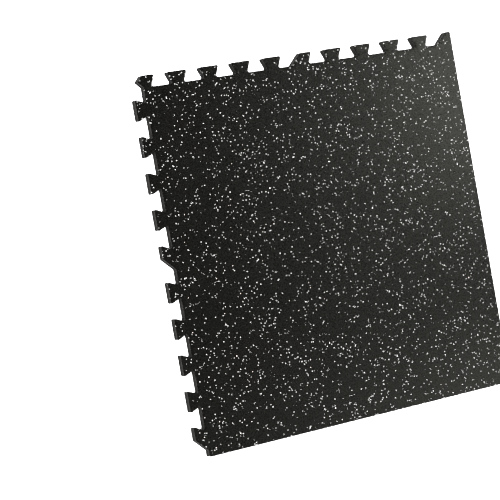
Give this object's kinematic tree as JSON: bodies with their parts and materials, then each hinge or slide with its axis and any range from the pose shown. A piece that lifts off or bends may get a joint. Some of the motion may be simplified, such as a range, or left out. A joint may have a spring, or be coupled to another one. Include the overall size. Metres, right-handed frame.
{
  "type": "gym floor tile",
  "caption": "Interlocking corner tile for a gym floor: flecked black rubber bonded on grey foam, with dovetail tabs along the left and back edges and straight cuts opposite.",
  "frame": {"origin": "centre of the box on the underside of the foam", "axes": "+Z out of the walking surface; +Y towards the tabbed back edge and -X towards the tabbed left edge; +X and -Y point out of the two straight edges"},
  "size_m": [0.6412, 0.6412, 0.0127],
  "materials": {
    "foam": "dark grey closed-cell foam, knife-cut and matt",
    "rubber": "matt black recycled rubber with pale granule flecks"
  },
  "bodies": {
    "root": {"foam_base": "foam", "rubber_top": "rubber"}
  },
  "joints": []
}
